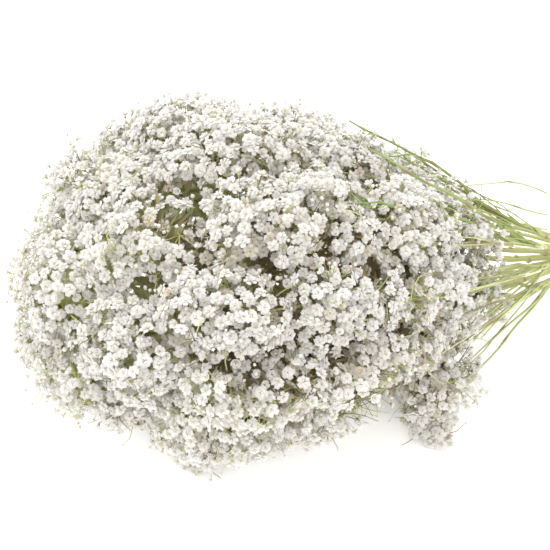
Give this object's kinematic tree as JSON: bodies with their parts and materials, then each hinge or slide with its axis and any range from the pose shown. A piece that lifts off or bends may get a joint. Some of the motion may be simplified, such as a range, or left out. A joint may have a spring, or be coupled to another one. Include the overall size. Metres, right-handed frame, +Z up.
{
  "type": "gypsophila bunch",
  "caption": "Tied bunch of gypsophila lying on its side: slim green stems fan out from a rubber band into a broad, airy head of small white double flowers.",
  "frame": {"origin": "on the surface that the bunch lies on, at the flat spot under the flowers, below the widest part of the head", "axes": "+X along the bunch towards the cut ends of the stems, -X towards the flowers, +Z up from the surface"},
  "size_m": [0.6536, 0.3193, 0.2609],
  "materials": {
    "petals": "matte white petals with a faint cream tint",
    "stem_skin": "smooth pale yellow-green skin with a slight sheen",
    "rubber": "plain tan rubber, semi-matte"
  },
  "bodies": {
    "root": {"stem_01": "stem_skin", "stem_02": "stem_skin", "stem_03": "stem_skin", "stem_04": "stem_skin", "stem_05": "stem_skin", "stem_06": "stem_skin", "stem_07": "stem_skin", "stem_08": "stem_skin", "stem_09": "stem_skin", "stem_10": "stem_skin", "stem_11": "stem_skin", "stem_12": "stem_skin", "stem_13": "stem_skin", "stem_14": "stem_skin", "stem_15": "stem_skin", "stem_16": "stem_skin", "stem_17": "stem_skin", "stem_18": "stem_skin", "stem_19": "stem_skin", "head_01": "petals", "head_02": "petals", "head_03": "petals", "head_04": "petals", "head_05": "petals", "head_06": "petals", "head_07": "petals", "head_08": "petals", "head_09": "petals", "head_10": "petals", "head_11": "petals", "head_12": "petals", "head_13": "petals", "head_14": "petals", "head_15": "petals", "head_16": "petals", "head_17": "petals", "head_18": "petals", "head_19": "petals", "band": "rubber"}
  },
  "joints": []
}
